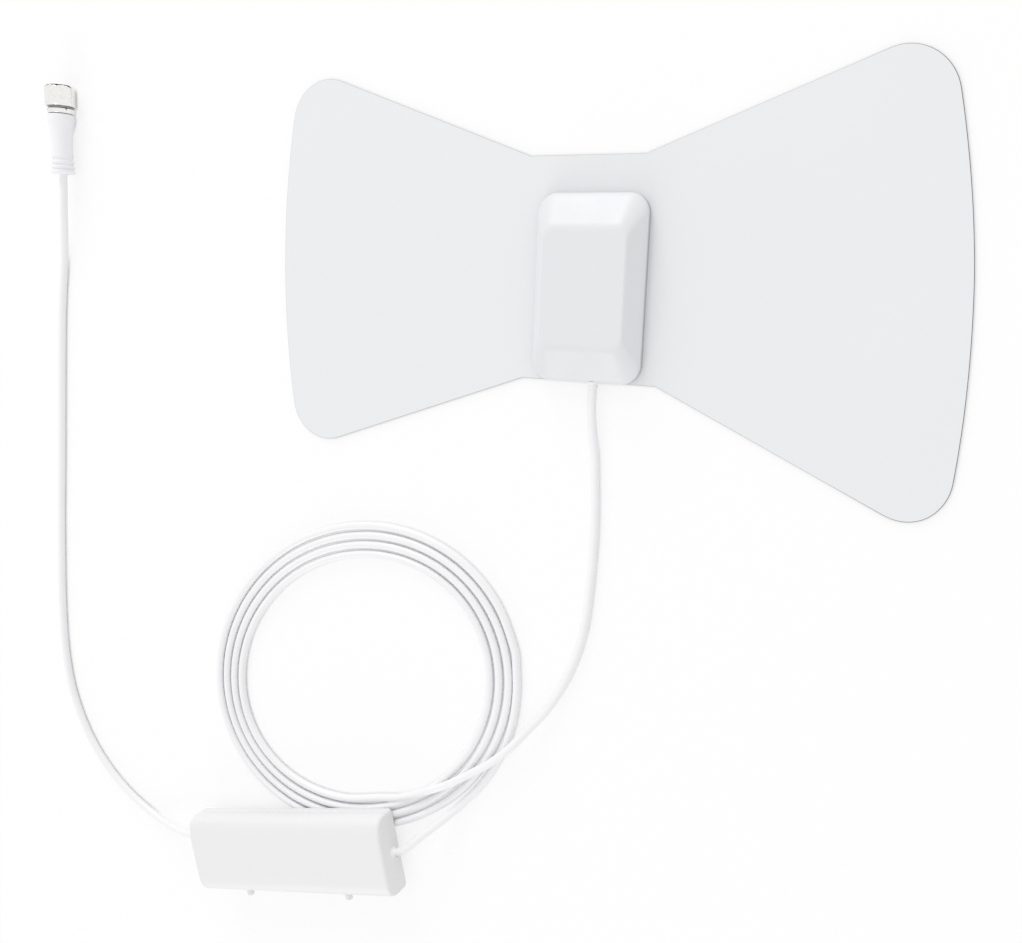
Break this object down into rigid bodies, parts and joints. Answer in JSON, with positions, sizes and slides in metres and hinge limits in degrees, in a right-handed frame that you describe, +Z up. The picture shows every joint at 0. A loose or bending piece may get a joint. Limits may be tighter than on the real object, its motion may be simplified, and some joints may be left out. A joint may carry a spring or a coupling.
{
  "type": "indoor tv antenna",
  "caption": "Flat bow-tie indoor TV antenna panel with a bevelled waist housing, coiled coaxial lead, in-line amplifier box and a screw-on plug.",
  "frame": {"origin": "middle of the bow tie's neck on the panel's back face, on the surface that everything lies on", "axes": "+X along the wings, +Y towards the panel's upper edge, away from the lead's exit, +Z up from the panel's front"},
  "size_m": [0.3807, 0.3478, 0.0168],
  "materials": {
    "sheet_white": "fine satin",
    "housing_white": "satin moulded",
    "amp_white": "satin moulded",
    "lead_jacket": "smooth extruded",
    "soft_white": "smooth moulded",
    "foil": "plain rolled",
    "circuit_board": "lacquered",
    "ferrite": "sintered",
    "brass_rivet": "plain",
    "screw_steel": "zinc plated",
    "tin_can": "tinned",
    "nickel": "bright",
    "insulator": "translucent white",
    "copper": "drawn wire"
  },
  "bodies": {
    "root": {"back_sheet": "sheet_white", "front_sheet": "sheet_white", "left_element": "foil", "right_element": "foil", "housing_base": "housing_white", "housing_cover": "housing_white", "antenna_board": "circuit_board", "ring_core": "ferrite", "left_terminal": "brass_rivet", "right_terminal": "brass_rivet", "housing_screws": "screw_steel", "lead_relief": "soft_white", "antenna_lead": "lead_jacket", "lead_coil": "lead_jacket", "lead_tail": "lead_jacket", "amp_base": "amp_white", "amp_cover": "amp_white", "amp_board": "circuit_board", "amp_shield": "tin_can", "amp_screws": "screw_steel", "amp_input_relief": "soft_white", "amp_output_relief": "soft_white", "tv_lead": "lead_jacket", "plug_grip": "soft_white", "plug_body": "nickel", "plug_insulator": "insulator", "centre_pin": "copper"},
    "nut": {"coupling_nut": "nickel"}
  },
  "joints": [
    {"name": "nut_spin", "type": "hinge", "parent": "root", "child": "nut", "pos_m": [-0.239, 0.066, 0.00555], "axis": [0, 1, 0], "continuous": true}
  ]
}
